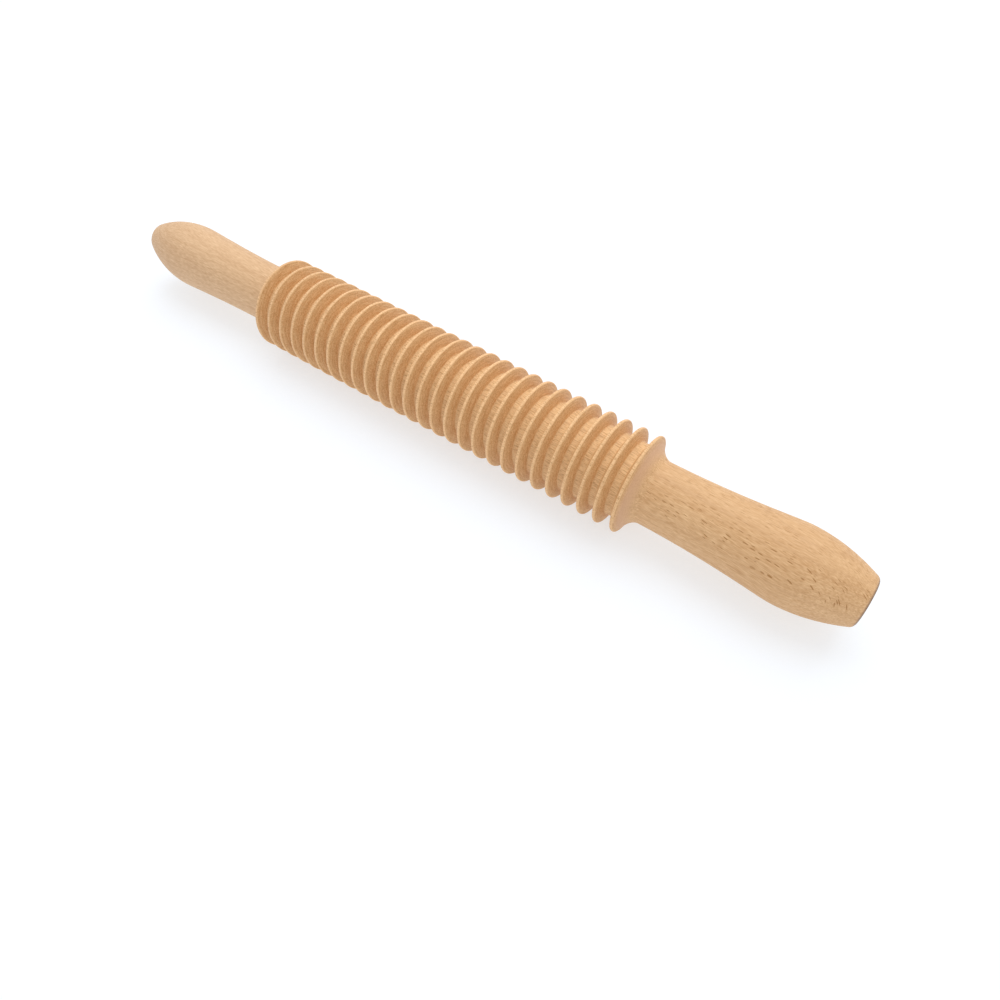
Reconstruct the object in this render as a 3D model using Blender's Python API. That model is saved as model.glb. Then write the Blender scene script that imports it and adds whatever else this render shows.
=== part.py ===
# Pasta cutter rolling pin, turned from one blank of beech.
#
# A cutting barrel of thin sharp discs stands between two flares, and each flare sweeps down into a long handle.
# The pin is rolled over a sheet of dough, the rims of the discs press through it, and the dough between two rims
# comes off as a ribbon as wide as the pitch.
#
# Sizes are in metres. The pin lies along X on the worktop at Z = 0, and its middle is over the origin.

import math

import bmesh
import bpy
from mathutils import Matrix, Vector
from mathutils.geometry import interpolate_bezier

# Cutting barrel
DISC_COUNT = 27
DISC_PITCH = 0.0065
DISC_DIAMETER = 0.0378
RIM_THICKNESS = 0.0010
FACE_LEAN = 0.00145  # how far each face of a disc leans out between its rim and its root
GROOVE_DEPTH = 0.00455
END_RIM_SHIFT = 0.0005  # the two outer rims stand a little wide of the pitch

# Flare between the outer rim and the neck of a handle
FLARE_LENGTH = 0.0063
FLARE_RIM_ANGLE = math.radians(76)  # how steeply the flare leaves the rim, measured from the axis
FLARE_PULL = 0.33  # fullness of the sweep at both of its ends, as a share of its chord

# Both handles
NECK_DIAMETER = 0.0242
NECK_TO_BELLY = 0.0501
BELLY_TO_END = 0.0254
NECK_PULL = 0.57  # how long the handle stays slim before it swells
BELLY_PULL = 0.10

# The handles are of one length, but the left one is turned slimmer and its end is rounder
LEFT_BELLY_DIAMETER = 0.0271
LEFT_END_DIAMETER = 0.0124  # before its edge is rounded
LEFT_EDGE_RADIUS = 0.0042
RIGHT_BELLY_DIAMETER = 0.0293
RIGHT_END_DIAMETER = 0.0176  # before its edge is rounded
RIGHT_EDGE_RADIUS = 0.0021

# Facets
SIDES = 36  # a multiple of four, so that a flat faces straight down and straight up
FLARE_STEPS = 8
SWELL_STEPS = 10
CROWN_STEPS = 7
EDGE_STEPS = 3
SMOOTH_ANGLE = math.radians(28)

BEECH_COLOUR = (223, 184, 140)
BEECH_ROUGHNESS = 0.62


def clear_scene():
    for obj in list(bpy.data.objects):
        bpy.data.objects.remove(obj, do_unlink=True)


def linear(value):
    share = value / 255
    if share <= 0.04045:
        return share / 12.92
    return ((share + 0.055) / 1.055) ** 2.4


def beech():
    material = bpy.data.materials.new("beech")
    material.use_nodes = True
    shader = material.node_tree.nodes["Principled BSDF"]
    shader.inputs["Base Color"].default_value = (*[linear(value) for value in BEECH_COLOUR], 1)
    shader.inputs["Roughness"].default_value = BEECH_ROUGHNESS
    shader.inputs["Metallic"].default_value = 0
    return material


def disc_middles():
    """Where each disc stands on the axis, with the two outer discs a little wide of the pitch."""
    first = -DISC_PITCH * (DISC_COUNT - 1) / 2
    middles = [first + DISC_PITCH * disc for disc in range(DISC_COUNT)]
    middles[0] -= END_RIM_SHIFT
    middles[-1] += END_RIM_SHIFT
    return middles


def barrel_profile():
    """The discs from the left outer rim to the right one, as points of distance along the axis and radius."""
    rim = DISC_DIAMETER / 2
    core = rim - GROOVE_DEPTH
    points = []
    for middle in disc_middles():
        for side in (-1, 1):
            at_rim = (middle + side * RIM_THICKNESS / 2, rim)
            at_root = (middle + side * (RIM_THICKNESS / 2 + FACE_LEAN), core)
            points += [at_root, at_rim] if side < 0 else [at_rim, at_root]
    return points[1:-1]


def curve(start, start_pull, end_pull, end, steps):
    """The points after start along a smooth curve, pulled at each end by the given offset."""
    handles = [Vector(start), Vector(start) + Vector(start_pull), Vector(end) + Vector(end_pull), Vector(end)]
    handles = [handle.to_3d() for handle in handles]
    return [(point.x, point.y) for point in interpolate_bezier(*handles, steps + 1)[1:]]


def flare_profile(start, neck):
    """The hollow sweep from the outer rim, leaving it steeply and running level into the neck."""
    chord = (Vector(neck) - Vector(start)).length
    pull = chord * FLARE_PULL
    leave = (pull * math.cos(FLARE_RIM_ANGLE), -pull * math.sin(FLARE_RIM_ANGLE))
    return curve(start, leave, (-pull, 0), neck, FLARE_STEPS)


def swell_profile(neck, belly):
    """The slim length of the handle and its swelling out to the belly."""
    length = belly[0] - neck[0]
    return curve(neck, (length * NECK_PULL, 0), (-length * BELLY_PULL, 0), belly, SWELL_STEPS)


def crown_profile(belly, end, edge_radius):
    """The parabola from the belly to the end face, and the rounded edge of the face."""
    length = end[0] - belly[0]
    fall = belly[1] - end[1]
    slope = math.atan2(2 * fall, length)
    setback = edge_radius * (1 - math.sin(slope)) / math.cos(slope)
    crown_share = 1 - setback * math.cos(slope) / length
    points = []
    for step in range(1, CROWN_STEPS):
        share = crown_share * step / CROWN_STEPS
        points.append((belly[0] + length * share, belly[1] - fall * share**2))
    for step in range(EDGE_STEPS + 1):
        angle = (math.pi / 2 - slope) * (1 - step / EDGE_STEPS)
        along = end[0] - edge_radius * (1 - math.cos(angle))
        radius = end[1] - setback + edge_radius * math.sin(angle)
        points.append((along, radius))
    return points


def handle_profile(rim_corner, belly_diameter, end_diameter, edge_radius):
    """Flare, neck, belly and end of a handle that leaves the corner of its outer rim to the right."""
    neck = (rim_corner[0] + FLARE_LENGTH, NECK_DIAMETER / 2)
    belly = (neck[0] + NECK_TO_BELLY, belly_diameter / 2)
    end = (belly[0] + BELLY_TO_END, end_diameter / 2)
    return flare_profile(rim_corner, neck) + swell_profile(neck, belly) + crown_profile(belly, end, edge_radius)


def pin_profile():
    """The whole turned outline from the left end face to the right one."""
    barrel = barrel_profile()
    right = handle_profile(barrel[-1], RIGHT_BELLY_DIAMETER, RIGHT_END_DIAMETER, RIGHT_EDGE_RADIUS)
    mirrored_corner = (-barrel[0][0], barrel[0][1])
    left = handle_profile(mirrored_corner, LEFT_BELLY_DIAMETER, LEFT_END_DIAMETER, LEFT_EDGE_RADIUS)
    left = [(-along, radius) for along, radius in reversed(left)]
    return left + barrel + right


def turned_mesh(name, profile):
    """The profile turned about X. The middle of each facet lies on the true circle, and one faces straight down."""
    spread = 1 / math.cos(math.pi / SIDES)
    half_step = Matrix.Rotation(math.pi / SIDES, 4, "X")
    bm = bmesh.new()
    verts = [bm.verts.new(half_step @ Vector((along, 0, radius * spread))) for along, radius in profile]
    edges = [bm.edges.new(pair) for pair in zip(verts, verts[1:])]
    bmesh.ops.spin(
        bm,
        geom=verts + edges,
        axis=(1, 0, 0),
        cent=(0, 0, 0),
        angle=2 * math.pi,
        steps=SIDES,
        use_merge=True,
    )
    open_edges = [edge for edge in bm.edges if edge.is_boundary]
    bmesh.ops.holes_fill(bm, edges=open_edges, sides=SIDES)
    bmesh.ops.recalc_face_normals(bm, faces=bm.faces)
    mesh = bpy.data.meshes.new(name)
    bm.to_mesh(mesh)
    bm.free()
    mesh.shade_smooth()
    mesh.set_sharp_from_angle(angle=SMOOTH_ANGLE)
    return mesh


def rolling_pin():
    mesh = turned_mesh("rolling_pin", pin_profile())
    mesh.materials.append(beech())
    pin = bpy.data.objects.new("rolling_pin", mesh)
    pin.location = (0, 0, DISC_DIAMETER / 2)
    bpy.context.collection.objects.link(pin)
    return pin


clear_scene()
rolling_pin()
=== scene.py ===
import math

import bmesh
import bpy
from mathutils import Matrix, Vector
from mathutils.geometry import interpolate_bezier


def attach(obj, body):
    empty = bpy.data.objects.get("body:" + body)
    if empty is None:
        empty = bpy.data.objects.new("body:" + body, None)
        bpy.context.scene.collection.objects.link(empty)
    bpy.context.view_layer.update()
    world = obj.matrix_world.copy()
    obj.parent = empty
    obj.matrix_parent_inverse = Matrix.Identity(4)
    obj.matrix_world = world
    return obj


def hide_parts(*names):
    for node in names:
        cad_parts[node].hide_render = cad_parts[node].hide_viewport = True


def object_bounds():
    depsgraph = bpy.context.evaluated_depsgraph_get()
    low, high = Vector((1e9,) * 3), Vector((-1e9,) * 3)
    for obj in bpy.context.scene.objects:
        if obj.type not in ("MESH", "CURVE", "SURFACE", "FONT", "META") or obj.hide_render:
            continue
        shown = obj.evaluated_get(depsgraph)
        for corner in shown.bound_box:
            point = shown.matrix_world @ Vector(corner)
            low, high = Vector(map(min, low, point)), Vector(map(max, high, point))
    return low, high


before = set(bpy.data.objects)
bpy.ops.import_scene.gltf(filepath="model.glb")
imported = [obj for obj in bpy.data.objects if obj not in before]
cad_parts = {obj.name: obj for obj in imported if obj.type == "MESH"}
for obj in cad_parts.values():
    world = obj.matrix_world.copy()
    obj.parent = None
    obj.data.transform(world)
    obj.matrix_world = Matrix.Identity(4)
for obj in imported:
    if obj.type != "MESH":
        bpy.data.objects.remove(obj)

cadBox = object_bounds()
mm = 0.001
print("frame loaded:", ", ".join(sorted(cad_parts)))

# A pasta cutter rolling pin, turned from one blank of beech. It lies along X, and Z = 0 is the worktop.
axisHeight = (cadBox[0].z + cadBox[1].z) / 2 / mm


def srgb(code):
    parts = [int(code[place:place + 2], 16) / 255 for place in (1, 3, 5)]
    return (*[part / 12.92 if part <= 0.04045 else ((part + 0.055) / 1.055) ** 2.4 for part in parts], 1)


# Camera, at the photograph's angle
cameraView = {
    "position": (139.97, -162.33, 231.53),  # mm
    "look": (-0.34326, 0.48627, -0.80356),
    "lens": 27.411,  # mm
    "sensor": 36,  # mm
    "nearest": 10,  # mm
}


def makeCamera():
    data = bpy.data.cameras.new("camera")
    data.lens = cameraView["lens"]
    data.sensor_width = cameraView["sensor"]
    data.clip_start = cameraView["nearest"] * mm
    camera = bpy.data.objects.new("camera", data)
    camera.location = Vector(cameraView["position"]) * mm
    camera.rotation_euler = Vector(cameraView["look"]).to_track_quat("-Z", "Y").to_euler()
    bpy.context.scene.collection.objects.link(camera)
    bpy.context.scene.camera = camera


makeCamera()
print("camera placed")


# Outline of the turned pin, in mm along the axis and mm of radius
pinShape = {
    "discs": 27,
    "pitch": 6.5,
    "discRadius": 18.9,
    "rimThickness": 1.0,
    "faceLean": 1.45,  # between the rim and the root, on each face of a disc
    "grooveDepth": 4.55,
    "endRimShift": 0.5,  # the two outer rims stand a little wide of the pitch
    "rimRounding": 0.42,
    "rootRounding": 0.5,
    "flareLength": 6.3,
    "flareRimAngle": 76,  # degrees from the axis
    "flarePull": 0.33,  # share of the chord
    "neckRadius": 12.1,
    "neckToBelly": 50.1,
    "bellyToEnd": 25.4,
    "neckPull": 0.57,  # how long the handle stays slim before it swells
    "bellyPull": 0.10,
    "leftHandle": {"bellyRadius": 13.55, "endRadius": 6.2, "edgeSetback": 2.42},
    "rightHandle": {"bellyRadius": 14.65, "endRadius": 8.8, "edgeSetback": 1.35},
    "flareSteps": 16,
    "swellSteps": 26,
    "crownSteps": 18,
    "rimSteps": 4,
    "rootSteps": 4,
    "edgeSteps": 6,
    "sides": 144,
    "mergeWithin": 0.001,
    "sharpFrom": 40,  # degrees
}


def discMiddles(shape):
    first = -shape["pitch"] * (shape["discs"] - 1) / 2
    middles = [first + shape["pitch"] * disc for disc in range(shape["discs"])]
    middles[0] -= shape["endRimShift"]
    middles[-1] += shape["endRimShift"]
    return middles


def sweep(start, leave, arrive, end, steps):
    handles = [Vector(start), Vector(start) + Vector(leave), Vector(end) + Vector(arrive), Vector(end)]
    handles = [handle.to_3d() for handle in handles]
    return [(point.x, point.y) for point in interpolate_bezier(*handles, steps + 1)[1:]]


def handleOutline(shape, rimCorner, handle):
    neck = (rimCorner[0] + shape["flareLength"], shape["neckRadius"])
    belly = (neck[0] + shape["neckToBelly"], handle["bellyRadius"])
    pull = (Vector(neck) - Vector(rimCorner)).length * shape["flarePull"]
    angle = math.radians(shape["flareRimAngle"])
    leave = (pull * math.cos(angle), -pull * math.sin(angle))
    outline = sweep(rimCorner, leave, (-pull, 0), neck, shape["flareSteps"])
    leave = (shape["neckToBelly"] * shape["neckPull"], 0)
    arrive = (-shape["neckToBelly"] * shape["bellyPull"], 0)
    outline += sweep(neck, leave, arrive, belly, shape["swellSteps"])
    fall = handle["bellyRadius"] - handle["endRadius"]
    for step in range(1, shape["crownSteps"] + 1):  # the crown falls to the end face as a parabola
        share = step / shape["crownSteps"]
        outline.append((belly[0] + shape["bellyToEnd"] * share, belly[1] - fall * share ** 2))
    return outline


def pinOutline(shape):
    rim = shape["discRadius"]
    root = rim - shape["grooveDepth"]
    halfRim = shape["rimThickness"] / 2
    halfRoot = halfRim + shape["faceLean"]
    barrel = []
    for middle in discMiddles(shape):
        barrel += [(middle - halfRoot, root), (middle - halfRim, rim)]
        barrel += [(middle + halfRim, rim), (middle + halfRoot, root)]
    barrel = barrel[1:-1]  # the flares start at the outermost corners of the rims
    right = handleOutline(shape, barrel[-1], shape["rightHandle"])
    mirroredCorner = (-barrel[0][0], barrel[0][1])
    left = handleOutline(shape, mirroredCorner, shape["leftHandle"])
    left = [(-along, radius) for along, radius in reversed(left)]
    return left, barrel, right


def roundCorners(bm, corners, radius, segments):
    bmesh.ops.bevel(
        bm, geom=corners, offset=radius, segments=segments, profile=0.5, affect="VERTICES", material=-1,
    )


def turnPin(shape):
    bm = bmesh.new()
    left, barrel, right = pinOutline(shape)
    verts = [bm.verts.new((along * mm, 0, radius * mm)) for along, radius in left + barrel + right]
    for pair in zip(verts, verts[1:]):
        bm.edges.new(pair)
    leftEnd, rightEnd = verts[0], verts[-1]
    discVerts = verts[len(left):-len(right)]
    midGroove = (shape["discRadius"] - shape["grooveDepth"] / 2) * mm
    rimVerts = [vert for vert in discVerts if vert.co.z > midGroove]
    rootVerts = [vert for vert in discVerts if vert not in rimVerts]
    roundCorners(bm, rimVerts, shape["rimRounding"] * mm, shape["rimSteps"])
    roundCorners(bm, rootVerts, shape["rootRounding"] * mm, shape["rootSteps"])
    for end, handle in ((leftEnd, shape["leftHandle"]), (rightEnd, shape["rightHandle"])):
        centre = bm.verts.new((end.co.x, 0, 0))
        bm.edges.new((end, centre))
        roundCorners(bm, [end], handle["edgeSetback"] * mm, shape["edgeSteps"])
    bmesh.ops.spin(
        bm, geom=bm.verts[:] + bm.edges[:], axis=(1, 0, 0), cent=(0, 0, 0),
        angle=2 * math.pi, steps=shape["sides"], use_merge=True,
    )
    bmesh.ops.remove_doubles(bm, verts=bm.verts, dist=shape["mergeWithin"] * mm)
    bmesh.ops.recalc_face_normals(bm, faces=bm.faces)
    bmesh.ops.translate(bm, verts=bm.verts, vec=(0, 0, axisHeight * mm))
    mesh = bpy.data.meshes.new("turnedPin")
    bm.to_mesh(mesh)
    bm.free()
    mesh.shade_smooth()
    mesh.set_sharp_from_angle(angle=math.radians(shape["sharpFrom"]))
    pin = bpy.data.objects.new("turnedPin", mesh)
    bpy.context.scene.collection.objects.link(pin)
    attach(pin, "root")
    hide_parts("rolling_pin")
    print("pin turned:", len(mesh.polygons), "faces")
    return pin


pin = turnPin(pinShape)


# Nodes that the materials use often
maths, vectorMaths, mapRange = "ShaderNodeMath", "ShaderNodeVectorMath", "ShaderNodeMapRange"
split, join = "ShaderNodeSeparateXYZ", "ShaderNodeCombineXYZ"
mapping, noise, mix = "ShaderNodeMapping", "ShaderNodeTexNoise", "ShaderNodeMix"


def addNode(tree, kind, inputs=(), **settings):
    node = tree.nodes.new(kind)
    for name, value in settings.items():
        setattr(node, name, value)
    if not isinstance(inputs, dict):
        inputs = dict(enumerate(inputs))  # a plain row of values fills the sockets in order
    for socket, value in inputs.items():
        if isinstance(value, bpy.types.Node):
            value = value.outputs[0]
        if isinstance(value, bpy.types.NodeSocket):
            tree.links.new(value, node.inputs[socket])
        else:
            node.inputs[socket].default_value = value
    return node


def startMaterial(name):
    material = bpy.data.materials.new(name)
    material.use_nodes = True
    return material, material.node_tree.nodes["Principled BSDF"]


# European beech, turned on a lathe and finely sanded, with no varnish. The eye sees a warm pale tan with
# a satin skin, fine lines along the fibres, short dark flecks where the rays end in the surface, and
# browner, stippled end grain on the faces of the discs. Lengths are in mm, and between the two values of
# a pair the change is gradual.
beechLook = {
    # Colours
    "pale": "#F0C898",
    "tan": "#BE8C58",
    "even": "#D8AD7D",  # between pale and tan: a painted sheen that evens the tones along the top, where the softbox's reflection would veil the grain
    "leftTint": "#DAC4AE",  # the blank is paler towards its left end
    "ringLine": "#BC8F63",
    "fleck": "#965F12",  # the rays and the pores
    "freshCut": "#F3CB95",  # the floors of the grooves, cut but never sanded
    # The rims: worn pale by use, and lightened further as a painted highlight
    "rim": "#FFD09A",
    "flare": "#D6AA88",
    "endGrain": "#E6BD8A",
    "endGrainDark": "#C6935C",
    "endEdgeDark": "#684B38",  # the edges of the two end faces, drawn dark brown
    # How the blank grew and was cut
    "flatSide": -16,  # degrees from straight up, towards the front, of the side where the rings lie flat
    "fibreTurn": 5,  # degrees between the fibres and the pin's axis, along the rings
    "fibreWander": 3.2,
    "wanderWaves": (0.022, 0.07, 0.07),  # in 1 mm, along the axis and across it
    "pithDistance": 62,
    "ringSpacing": 2.3,
    "ringUnevenness": 2.2,  # years
    "ringWaves": (0.004, 0.02, 0.21),  # in 1 mm, along the fibres, along a ring, and across the rings
    "ringRise": (0.45, 0.93),  # share of a year where its line starts and is deepest
    # Sizes of the marks: along the fibres, along a ring, and across the rings
    "broadSize": (50, 6.25, 6.25),
    "lineSize": (2.8, 0.32, 0.32),  # fibres are 0.02 mm thick, drawn coarser so that they show
    "fleckSize": (4.4, 0.26, 4.0),  # rays are 0.1 to 0.2 mm thick, drawn coarser so that they show
    "dashSize": (2.9, 0.21, 2.6),  # the smaller rays
    "tickSize": (3.5, 0.3, 0.3),  # pores are 0.1 mm across, drawn coarser so that they show
    "stippleSize": 0.5,  # pore ends are 0.1 mm across, drawn coarser so that they show
    "turningLine": 0.38,  # between the fine rings that the tool left on the faces of the discs
    "turningDrift": 0.2,  # how soon a ring changes on its way round
    # Which cells of the pattern hold a mark: those from the first value up, at full size by the second
    "fleckCells": (0.86, 0.97),
    "dashCells": (0.56, 1.0),
    "cellReach": 0.5,  # how much of its cell the largest mark takes
    "markSoftness": 0.08,
    # Where each kind of surface starts and is full
    "floorAbove": (0.9, 0.3),  # mm over the root of a groove
    "rimBelow": (0.4, 0.1),  # mm under the rim
    "tipBefore": (0.9, 0.2),  # mm before the end face
    "barrelBlend": 1,  # mm past the outer rims
    "endGrainFrom": (0.5, 0.3),  # how far a surface faces an end, on the handles and on the barrel
    "endGrainFull": 0.92,
    "tipEdge": (1.0, 0.94),  # how far it faces an end, on the flat of the end face and on its edge
    # Where the grain is calmer or coarser, and where a painted sheen evens it along the top
    "sheenVeilFacing": (0.84, 0.97),  # how far a surface faces up, for the painted sheen along the top
    "leftCalm": (-95, -20),  # mm along the axis
    "leftPaler": (60, -150),  # mm along the axis
    "coarseFront": (-4, -10),  # mm across the pin, below zero at the front
    "ringsOnEdge": (2.8, 0.8),  # mm above the axis, towards the side where the rings lie flat
    "steepSlope": (0.44, 0.62),  # how far a surface faces an end
    "rimPaleFade": (30, 85),  # mm from the middle, over which the rims' wear and painted highlight fade towards the ends
    # How strongly each shows, from 0 to 1
    "broadShare": 0.55,
    "toneRange": (0.37, 1.23),  # the tones drawn pale and tan
    # The painted sheen along the top, at its strongest
    "topSheenVeil": 0.45,
    "leftShare": 0.25,
    "ringShare": 0.2,
    "tipRingShare": 0.4,
    "fleckShare": (0.55, 0.9),  # the faintest and the darkest
    "dashShare": (0.7, 0.42),  # elsewhere and under the painted sheen along the top
    "marksAtLeft": 0.16,
    "marksAtBack": 0.3,
    "marksOnEdge": 0.1,
    "marksOnFloor": 0.25,
    "marksOnSlope": 0.2,
    "tickRange": (0.46, 0.65),  # the noise drawn as no pore and as a full one
    "tickShare": (0.15, 0.47),  # on sanded wood, and where the cutter tore it
    "turningShare": 0.6,
    "stippleRange": (0.6, 1.0),  # the noise drawn as no stipple and as a full one
    "flareStipple": 0.3,
    "freshCutShare": 0.7,
    "rimShare": (0.7, 0.48),  # of the rims' wear and painted highlight, in the middle of the barrel and at its ends, where the rims catch less light
    "endEdgeDarkShare": (0.2, 0.85),  # at the left-hand end and at the right-hand one
    # Skin
    "bumpDepth": 0.05,
    "bumpStrength": 0.5,
    "sheenRange": (0.3, 0.7),  # the lines that get the two values of roughness
    "roughness": (0.52, 0.68),
    "ior": 1.5,
}


# Short marks along the fibres, each with a soft edge, in some of the cells of a stretched pattern
def cellMarks(tree, fibre, size, cells, look):
    place = addNode(tree, mapping, {"Vector": fibre, "Scale": [1 / length for length in size]})
    grid = addNode(tree, "ShaderNodeTexVoronoi", {"Vector": place, "Scale": 1.0, "Randomness": 1.0})
    chance = addNode(tree, "ShaderNodeSeparateColor", (grid.outputs["Color"],))
    reach = addNode(tree, mapRange, (chance.outputs[0], *cells, 0, look["cellReach"]))
    inside = addNode(tree, maths, (reach, grid.outputs["Distance"]), operation="SUBTRACT")
    core = addNode(tree, mapRange, (inside, 0, look["markSoftness"]))
    return core, chance.outputs[1]


def turnedBeech(look, shape):
    material, shader = startMaterial("turnedBeech")
    tree = material.node_tree
    rim = shape["discRadius"]
    root = rim - shape["grooveDepth"]
    barrelEnd = discMiddles(shape)[-1] + shape["rimThickness"] / 2
    tip = cadBox[1].x / mm

    # Place in mm from the pin's axis, bent a little as real fibres wander
    source = addNode(tree, "ShaderNodeTexCoord")
    place = addNode(tree, mapping, {
        "Vector": source.outputs["Object"], "Location": (0, 0, -axisHeight), "Scale": [1 / mm] * 3,
    })
    slow = addNode(tree, mapping, {"Vector": place, "Scale": look["wanderWaves"]})
    wander = addNode(tree, noise, {"Vector": slow, "Scale": 1.0, "Detail": 2.0})
    middle = (0.5, 0.5, 0.5)  # of the noise
    bend = addNode(tree, vectorMaths, (wander.outputs["Color"], middle), operation="SUBTRACT")
    sway = (0, look["fibreWander"], look["fibreWander"])
    bent = addNode(tree, vectorMaths, (bend, sway, place), operation="MULTIPLY_ADD")

    # Turned so that Z points across the rings where they lie flat, then read as distance along the
    # fibres, round the pith and out from it
    turns = (math.radians(-look["flatSide"]), 0, math.radians(look["fibreTurn"]))
    turned = addNode(tree, mapping, {"Vector": bent, "Rotation": turns})
    parts = addNode(tree, split, (turned,))
    outward = addNode(tree, maths, (parts.outputs[2], look["pithDistance"]), operation="ADD")
    across = addNode(tree, join, {"Y": parts.outputs[1], "Z": outward})
    fromPith = addNode(tree, vectorMaths, (across,), operation="LENGTH").outputs["Value"]
    turn = addNode(tree, maths, (parts.outputs[1], outward), operation="ARCTAN2")
    roundPith = addNode(tree, maths, (turn, look["pithDistance"]), operation="MULTIPLY")
    fibre = addNode(tree, join, (parts.outputs[0], roundPith, fromPith))

    # Where each kind of surface is: end grain, floors of the grooves, rims, and edges of the end faces
    spot = addNode(tree, split, (place,))
    flat = addNode(tree, join, {"Y": spot.outputs[1], "Z": spot.outputs[2]})
    radius = addNode(tree, vectorMaths, (flat,), operation="LENGTH").outputs["Value"]
    along = addNode(tree, maths, (spot.outputs[0],), operation="ABSOLUTE")
    facing = addNode(tree, split, (source.outputs["Normal"],))
    endways = addNode(tree, maths, (facing.outputs[0],), operation="ABSOLUTE")
    inBarrel = addNode(tree, mapRange, (along, barrelEnd + look["barrelBlend"], barrelEnd))
    endFrom = addNode(tree, mapRange, (inBarrel, 0, 1, *look["endGrainFrom"]))
    endFacing = (endways, endFrom, look["endGrainFull"])
    endGrain = addNode(tree, mapRange, endFacing, interpolation_type="SMOOTHSTEP")
    low = addNode(tree, mapRange, (radius, *[root + above for above in look["floorAbove"]]))
    grooveFloor = addNode(tree, maths, (inBarrel, low), operation="MULTIPLY")
    high = addNode(tree, mapRange, (radius, *[rim - below for below in look["rimBelow"]]))
    rimSkin = addNode(tree, maths, (inBarrel, high), operation="MULTIPLY")
    atTip = addNode(tree, mapRange, (along, *[tip - before for before in look["tipBefore"]]))
    edge = addNode(tree, mapRange, (endways, *look["tipEdge"]))
    tipEdge = addNode(tree, maths, (atTip, edge), operation="MULTIPLY")

    # Broad changes of tone and fine lines, both along the fibres, calmer at the left, and evened along the
    # top by a painted sheen
    waves = [1 / size for size in look["broadSize"]]
    broadPlace = addNode(tree, mapping, {"Vector": fibre, "Scale": waves})
    broad = addNode(tree, noise, {"Vector": broadPlace, "Scale": 1.0, "Detail": 3.0, "Roughness": 0.55})
    waves = [1 / size for size in look["lineSize"]]
    linePlace = addNode(tree, mapping, {"Vector": fibre, "Scale": waves})
    lines = addNode(tree, noise, {"Vector": linePlace, "Scale": 1.0, "Detail": 1.0, "Roughness": 0.5})
    line = lines.outputs["Fac"]
    broadTone = (broad.outputs["Fac"], look["broadShare"], line)
    tone = addNode(tree, maths, broadTone, operation="MULTIPLY_ADD")
    toneShare = addNode(tree, mapRange, (tone, *look["toneRange"]))
    rightward = addNode(tree, mapRange, (spot.outputs[0], *look["leftCalm"], look["marksAtLeft"], 1))
    # Painted sheen: faces that look up get evened tones, as if veiled by the softbox's reflection
    top = addNode(tree, mapRange, (facing.outputs[2], *look["sheenVeilFacing"], 0, look["topSheenVeil"]))
    topSheenVeil = addNode(tree, maths, (top, rightward), operation="MULTIPLY")
    leftward = addNode(tree, mapRange, (spot.outputs[0], *look["leftPaler"], 0, look["leftShare"]))

    # Growth rings: a thin darker line at the end of each year's wood, of uneven width
    ringPlace = addNode(tree, mapping, {"Vector": fibre, "Scale": look["ringWaves"]})
    uneven = addNode(tree, noise, {"Vector": ringPlace, "Scale": 1.0, "Detail": 2.0})
    ringCount = addNode(tree, maths, (fromPith, 1 / look["ringSpacing"]), operation="MULTIPLY")
    unevenness = (uneven.outputs["Fac"], look["ringUnevenness"], ringCount)
    ringShift = addNode(tree, maths, unevenness, operation="MULTIPLY_ADD")
    year = addNode(tree, maths, (ringShift,), operation="FRACT")
    late = addNode(tree, mapRange, (year, *look["ringRise"]), interpolation_type="SMOOTHERSTEP")
    fresh = addNode(tree, mapRange, (year, 1, look["ringRise"][1]))
    ringLine = addNode(tree, maths, (late, fresh), operation="MULTIPLY")
    ringFade = addNode(tree, maths, (ringLine, look["ringShare"]), operation="MULTIPLY")
    tipRings = addNode(tree, maths, (ringLine, atTip), operation="MULTIPLY")
    tipRingFade = addNode(tree, maths, (tipRings, look["tipRingShare"]), operation="MULTIPLY")

    # Rays: short dark flecks along the fibres, coarsest at the front of the right-hand half, with finer
    # dashes between. They are faint on the floors of the grooves, on steep slopes, and where the rings
    # stand on edge.
    coarse = addNode(tree, mapRange, (parts.outputs[1], *look["coarseFront"], look["marksAtBack"], 1))
    onEdge = addNode(tree, mapRange, (parts.outputs[2], *look["ringsOnEdge"], 1, look["marksOnEdge"]))
    onFloor = addNode(tree, mapRange, (grooveFloor, 0, 1, 1, look["marksOnFloor"]))
    onSlope = addNode(tree, mapRange, (endways, *look["steepSlope"], 1, look["marksOnSlope"]))
    onSide = addNode(tree, maths, (onFloor, onSlope), operation="MULTIPLY")
    lively = addNode(tree, maths, (onEdge, onSide), operation="MULTIPLY")
    coarsest = addNode(tree, maths, (coarse, rightward), operation="MULTIPLY")
    plenty = addNode(tree, maths, (coarsest, lively), operation="MULTIPLY")
    fleckCore, fleckChance = cellMarks(tree, fibre, look["fleckSize"], look["fleckCells"], look)
    fleckTone = addNode(tree, mapRange, (fleckChance, 0, 1, *look["fleckShare"]))
    fleckShare = addNode(tree, maths, (fleckCore, fleckTone), operation="MULTIPLY")
    fleck = addNode(tree, maths, (fleckShare, plenty), operation="MULTIPLY")
    dashCore = cellMarks(tree, fibre, look["dashSize"], look["dashCells"], look)[0]
    # The dashes are fainter under the painted sheen along the top
    dashFade = addNode(tree, mapRange, (topSheenVeil, 0, look["topSheenVeil"], *look["dashShare"]))
    dashTone = addNode(tree, maths, (rightward, dashFade), operation="MULTIPLY")
    dashPlenty = addNode(tree, maths, (dashTone, lively), operation="MULTIPLY")
    dash = addNode(tree, maths, (dashCore, dashPlenty), operation="MULTIPLY")

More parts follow.
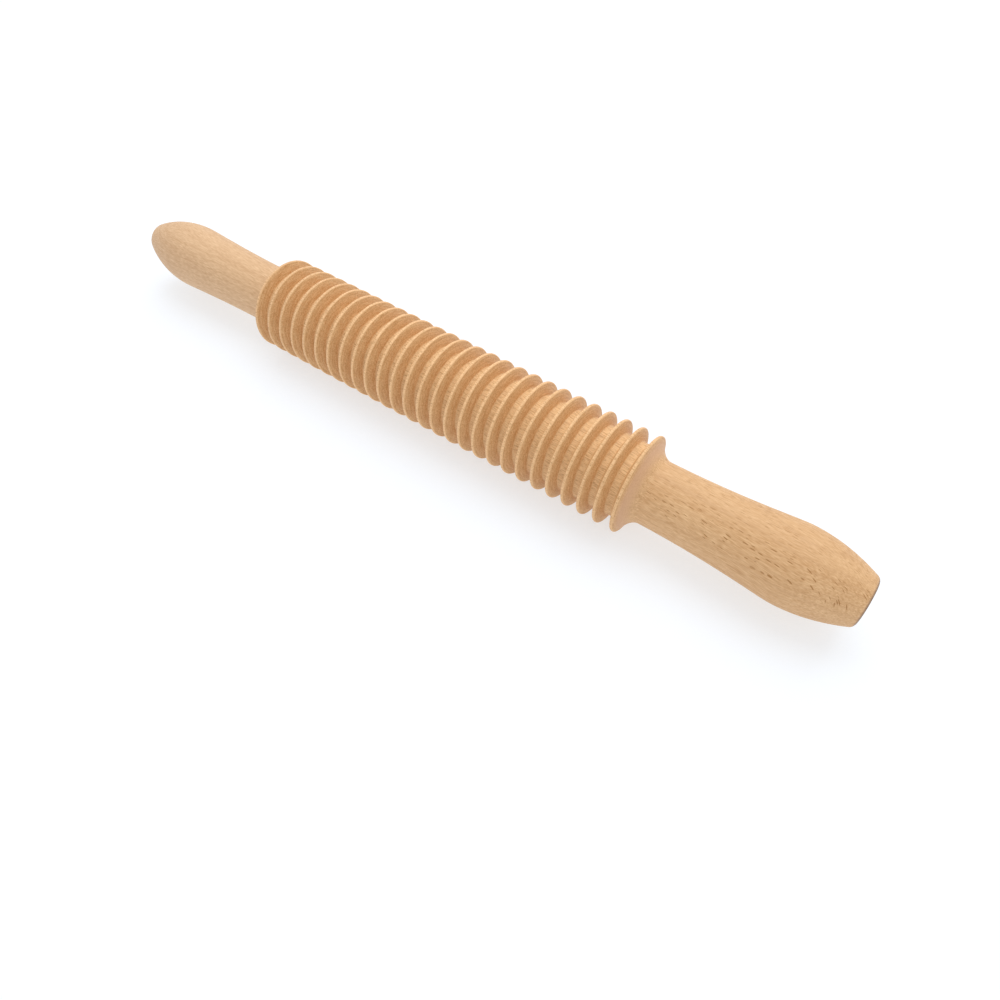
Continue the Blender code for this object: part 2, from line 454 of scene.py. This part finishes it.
    # Pores: fine ticks, deepest on the rims and the floors of the grooves, where the cutter tore them
    waves = [1 / size for size in look["tickSize"]]
    tickPlace = addNode(tree, mapping, {"Vector": fibre, "Scale": waves})
    ticks = addNode(tree, noise, {"Vector": tickPlace, "Scale": 1.0, "Detail": 2.0, "Roughness": 0.6})
    tick = addNode(tree, mapRange, (ticks.outputs["Fac"], *look["tickRange"]))
    torn = addNode(tree, maths, (grooveFloor, rimSkin), operation="MAXIMUM")
    tickDepth = addNode(tree, mapRange, (torn, 0, 1, *look["tickShare"]))
    tickTone = addNode(tree, maths, (tick, tickDepth), operation="MULTIPLY")
    sideGrain = addNode(tree, maths, (1, endGrain), operation="SUBTRACT")
    pores = addNode(tree, maths, (tickTone, sideGrain), operation="MULTIPLY")

    # End grain: browner and stippled, with the fine rings that the tool left. The flares are plainer.
    waves = [1 / look["stippleSize"]] * 3
    stipplePlace = addNode(tree, mapping, {"Vector": place, "Scale": waves})
    stipple = addNode(tree, noise, {"Vector": stipplePlace, "Scale": 1.0, "Detail": 2.0, "Roughness": 0.6})
    turning = addNode(tree, maths, (radius, 1 / look["turningLine"]), operation="MULTIPLY")
    rings = addNode(tree, join, (turning,))
    drift = [look["turningDrift"]] * 3
    turningPlace = addNode(tree, vectorMaths, (place, drift, rings), operation="MULTIPLY_ADD")
    turningMark = addNode(tree, noise, {"Vector": turningPlace, "Scale": 1.0, "Detail": 1.0})
    tooled = (turningMark.outputs["Fac"], look["turningShare"], stipple.outputs["Fac"])
    rough = addNode(tree, maths, tooled, operation="MULTIPLY_ADD")
    stippleShare = addNode(tree, mapRange, (rough, *look["stippleRange"]))
    discFace = addNode(tree, mix, {
        "Factor": stippleShare, 6: srgb(look["endGrain"]), 7: srgb(look["endGrainDark"]),
    }, data_type="RGBA")
    sawn = addNode(tree, maths, (inBarrel, atTip), operation="MAXIMUM")
    faceShare = addNode(tree, mapRange, (sawn, 0, 1, look["flareStipple"], 1))
    endFace = addNode(tree, mix, {
        "Factor": faceShare, 6: srgb(look["flare"]), 7: discFace.outputs[2],
    }, data_type="RGBA")

    # Fresh cuts, rims that are worn pale and carry a painted highlight, and the dark-drawn edges of the
    # end faces
    cut = addNode(tree, maths, (grooveFloor, look["freshCutShare"]), operation="MULTIPLY")
    # Rims: partly worn pale, partly a painted highlight, which fades towards the barrel's ends
    rimPaleShare = addNode(tree, mapRange, (along, *look["rimPaleFade"], *look["rimShare"]))
    wornAndHighlitRims = addNode(tree, maths, (rimSkin, rimPaleShare), operation="MULTIPLY")
    # The edges of the two end faces are drawn dark brown, faintly at the left-hand end and strongly at the
    # right-hand one
    endEdgeShare = addNode(tree, mapRange, (spot.outputs[0], -tip, tip, *look["endEdgeDarkShare"]))
    darkEndEdge = addNode(tree, maths, (tipEdge, endEdgeShare), operation="MULTIPLY")

    # The layers, from the ground up
    colour = srgb(look["pale"])
    for share, paint in (
        (toneShare, srgb(look["tan"])),
        # painted sheen along the top
        (topSheenVeil, srgb(look["even"])),
        (leftward, srgb(look["leftTint"])),
        (cut, srgb(look["freshCut"])),
        (ringFade, srgb(look["ringLine"])),
        (dash, srgb(look["fleck"])),
        (fleck, srgb(look["fleck"])),
        (endGrain, endFace.outputs[2]),
        (tipRingFade, srgb(look["fleck"])),
        # the rims' wear and painted highlight
        (wornAndHighlitRims, srgb(look["rim"])),
        (pores, srgb(look["fleck"])),
        (darkEndEdge, srgb(look["endEdgeDark"])),
    ):
        layer = addNode(tree, mix, {"Factor": share, 6: colour, 7: paint}, data_type="RGBA")
        colour = layer.outputs[2]

    # Skin: flecks and pores lie a little below it, and the lines raise it unevenly
    marks = addNode(tree, maths, (dash, fleck), operation="MAXIMUM")
    sunk = addNode(tree, maths, (pores, marks), operation="MAXIMUM")
    raised = addNode(tree, maths, (line, sunk), operation="SUBTRACT")
    stippled = addNode(tree, maths, (stippleShare, endGrain), operation="MULTIPLY")
    height = addNode(tree, maths, (raised, stippled), operation="SUBTRACT")
    bump = addNode(tree, "ShaderNodeBump", {
        "Strength": look["bumpStrength"], "Distance": look["bumpDepth"] * mm, "Height": height,
    })
    sheen = addNode(tree, mapRange, (line, *look["sheenRange"], *look["roughness"]))

    tree.links.new(colour, shader.inputs["Base Color"])
    tree.links.new(sheen.outputs[0], shader.inputs["Roughness"])
    tree.links.new(bump.outputs[0], shader.inputs["Normal"])
    shader.inputs["IOR"].default_value = look["ior"]
    return material


pin.data.materials.append(turnedBeech(beechLook, pinShape))
print("beech applied")


# Worktop and light: a plain pale floor under soft studio light
studio = {
    "floorSide": 4000,  # mm
    "floorColour": "#ABB2BB",
    "floorRoughness": 0.9,
    "floorGlow": 0.575,
    "white": "#FFFFFF",
    "skyStrength": 0.757,
    "keyPower": 5.05,  # watts
    "keySide": 1000,  # mm
    "keyPlace": (-70, 380, 820),  # mm
}


# The floor is a sheet of opal acrylic, moulded with a matt skin and lit from below. The eye sees an even
# white that takes soft shadows and shows no reflection.
def layFloor():
    bm = bmesh.new()
    bmesh.ops.create_grid(bm, x_segments=1, y_segments=1, size=studio["floorSide"] / 2 * mm)
    mesh = bpy.data.meshes.new("floor")
    bm.to_mesh(mesh)
    bm.free()
    floor = bpy.data.objects.new("floor", mesh)
    bpy.context.scene.collection.objects.link(floor)
    material, shader = startMaterial("opalAcrylic")
    shader.inputs["Base Color"].default_value = srgb(studio["floorColour"])
    shader.inputs["Roughness"].default_value = studio["floorRoughness"]
    shader.inputs["Specular IOR Level"].default_value = 0
    shader.inputs["Emission Color"].default_value = srgb(studio["white"])
    shader.inputs["Emission Strength"].default_value = studio["floorGlow"]
    mesh.materials.append(material)


def lightStudio():
    world = bpy.data.worlds.new("studio")
    world.use_nodes = True
    background = world.node_tree.nodes["Background"]
    background.inputs["Color"].default_value = srgb(studio["white"])
    background.inputs["Strength"].default_value = studio["skyStrength"]
    bpy.context.scene.world = world
    data = bpy.data.lights.new("softbox", "AREA")
    data.energy = studio["keyPower"]
    data.size = studio["keySide"] * mm
    light = bpy.data.objects.new("softbox", data)
    light.location = Vector(studio["keyPlace"]) * mm
    light.rotation_euler = (-light.location).to_track_quat("-Z", "Y").to_euler()
    bpy.context.scene.collection.objects.link(light)
    bpy.context.scene.view_settings.view_transform = "Standard"


layFloor()
lightStudio()
print("studio lit")
